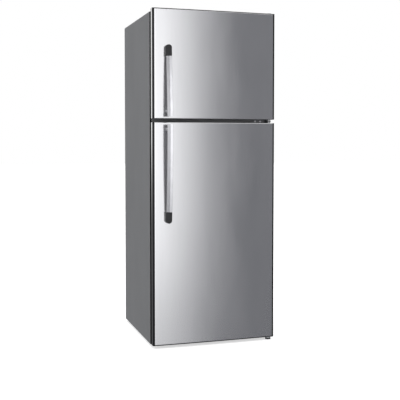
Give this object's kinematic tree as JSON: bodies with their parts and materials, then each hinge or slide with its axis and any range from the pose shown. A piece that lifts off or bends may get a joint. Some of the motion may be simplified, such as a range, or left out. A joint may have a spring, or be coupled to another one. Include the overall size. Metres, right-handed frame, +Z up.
{
  "type": "top freezer refrigerator",
  "caption": "Free-standing top freezer refrigerator, brushed steel doors with black side rails, one bowed bar handle in two halves, grey cabinet.",
  "frame": {"origin": "on the floor, under the middle of the whole object", "axes": "+Z up along the height, the doors face -Y, +X is the hinge side, which is on the right seen from the front"},
  "size_m": [0.6, 0.65, 1.569],
  "materials": {
    "painted_grey": "satin",
    "zinc_steel": "satin",
    "dark_sheet": "matte",
    "brushed_skin": "satin",
    "black_gloss": "gloss",
    "satin_silver": "satin",
    "dark_cap": "satin",
    "white_liner": "satin",
    "white_plastic": "matte",
    "clear_plastic": "gloss",
    "frosted_plastic": "satin",
    "shelf_glass": "gloss",
    "rigid_foam": "matte",
    "seal_grey": "matte",
    "black_rubber": "matte",
    "black_enamel": "satin",
    "fin_aluminium": "satin",
    "grey_plastic": "matte",
    "dark_plastic": "matte",
    "hinge_steel": "satin",
    "pin_steel": "satin"
  },
  "bodies": {
    "cabinet": {"side_panel_left": "painted_grey", "side_panel_right": "painted_grey", "top_panel": "painted_grey", "rear_panel": "zinc_steel", "base_tray": "zinc_steel", "mullion_bar": "painted_grey", "insulation": "rigid_foam", "freezer_liner": "white_liner", "fridge_liner": "white_liner", "bay_panel": "zinc_steel", "compressor_cover": "dark_sheet", "cord_inlet": "black_rubber", "compressor": "black_enamel", "compressor_mounts": "black_rubber", "condenser_coil": "black_enamel", "evaporator": "fin_aluminium", "evaporator_cover": "white_plastic", "fan_motor": "grey_plastic", "air_duct": "white_plastic", "freezer_shelf": "shelf_glass", "glass_shelves": "shelf_glass", "shelf_trims": "white_plastic", "crisper_frame": "white_plastic", "control_housing": "white_plastic", "lamp_cover": "frosted_plastic", "top_hinge": "hinge_steel", "middle_hinge": "hinge_steel", "bottom_hinge": "hinge_steel", "hinge_pins": "pin_steel", "hinge_screws": "pin_steel", "top_hinge_cover": "dark_plastic", "roller_brackets": "zinc_steel"},
    "freezer_door": {"freezer_door_skin": "brushed_skin", "freezer_door_rails": "black_gloss", "freezer_door_caps": "black_gloss", "freezer_door_core": "rigid_foam", "freezer_door_liner": "white_liner", "freezer_door_gasket": "seal_grey", "freezer_door_bins": "clear_plastic", "freezer_handle": "satin_silver", "freezer_handle_cap": "dark_cap"},
    "fridge_door": {"fridge_door_skin": "brushed_skin", "fridge_door_rails": "black_gloss", "fridge_door_caps": "black_gloss", "fridge_door_core": "rigid_foam", "fridge_door_liner": "white_liner", "fridge_door_gasket": "seal_grey", "fridge_door_bin": "clear_plastic", "fridge_handle": "satin_silver", "fridge_handle_cap": "dark_cap", "dairy_bin": "clear_plastic", "bottle_bin": "clear_plastic"},
    "dairy_lid": {"dairy_lid": "clear_plastic"},
    "crisper": {"crisper_drawer": "clear_plastic"},
    "knob": {"thermostat_knob": "grey_plastic"},
    "fan": {"fan_blade": "grey_plastic"},
    "roller_left": {"roller_left": "dark_plastic"},
    "roller_right": {"roller_right": "dark_plastic"},
    "foot_left": {"foot_left": "dark_plastic"},
    "foot_right": {"foot_right": "dark_plastic"}
  },
  "joints": [
    {"name": "freezer_door_hinge", "type": "hinge", "parent": "cabinet", "child": "freezer_door", "pos_m": [0.278, -0.255, 1.3115], "axis": [0, 0, 1], "range_deg": [0, 120]},
    {"name": "fridge_door_hinge", "type": "hinge", "parent": "cabinet", "child": "fridge_door", "pos_m": [0.278, -0.255, 0.529], "axis": [0, 0, 1], "range_deg": [0, 120]},
    {"name": "dairy_lid_hinge", "type": "hinge", "parent": "fridge_door", "child": "dairy_lid", "pos_m": [0, -0.219, 0.866], "axis": [1, 0, 0], "range_deg": [0, 75]},
    {"name": "crisper_slide", "type": "slide", "parent": "cabinet", "child": "crisper", "axis": [0, -1, 0], "range_m": [0, 0.09]},
    {"name": "thermostat_turn", "type": "hinge", "parent": "cabinet", "child": "knob", "pos_m": [0, -0.06, 0.99], "axis": [0, 1, 0], "range_deg": [0, 270]},
    {"name": "fan_spin", "type": "hinge", "parent": "cabinet", "child": "fan", "pos_m": [0, 0.217, 1.37], "axis": [0, 1, 0], "continuous": true},
    {"name": "roller_left_spin", "type": "hinge", "parent": "cabinet", "child": "roller_left", "pos_m": [-0.262, 0.28, 0.014], "axis": [1, 0, 0], "continuous": true},
    {"name": "roller_right_spin", "type": "hinge", "parent": "cabinet", "child": "roller_right", "pos_m": [0.262, 0.28, 0.014], "axis": [1, 0, 0], "continuous": true},
    {"name": "foot_left_turn", "type": "hinge", "parent": "cabinet", "child": "foot_left", "pos_m": [-0.255, -0.1745, 0.01], "axis": [0, 0, 1], "continuous": true},
    {"name": "foot_right_turn", "type": "hinge", "parent": "cabinet", "child": "foot_right", "pos_m": [0.278, -0.255, 0.005], "axis": [0, 0, 1], "continuous": true}
  ]
}
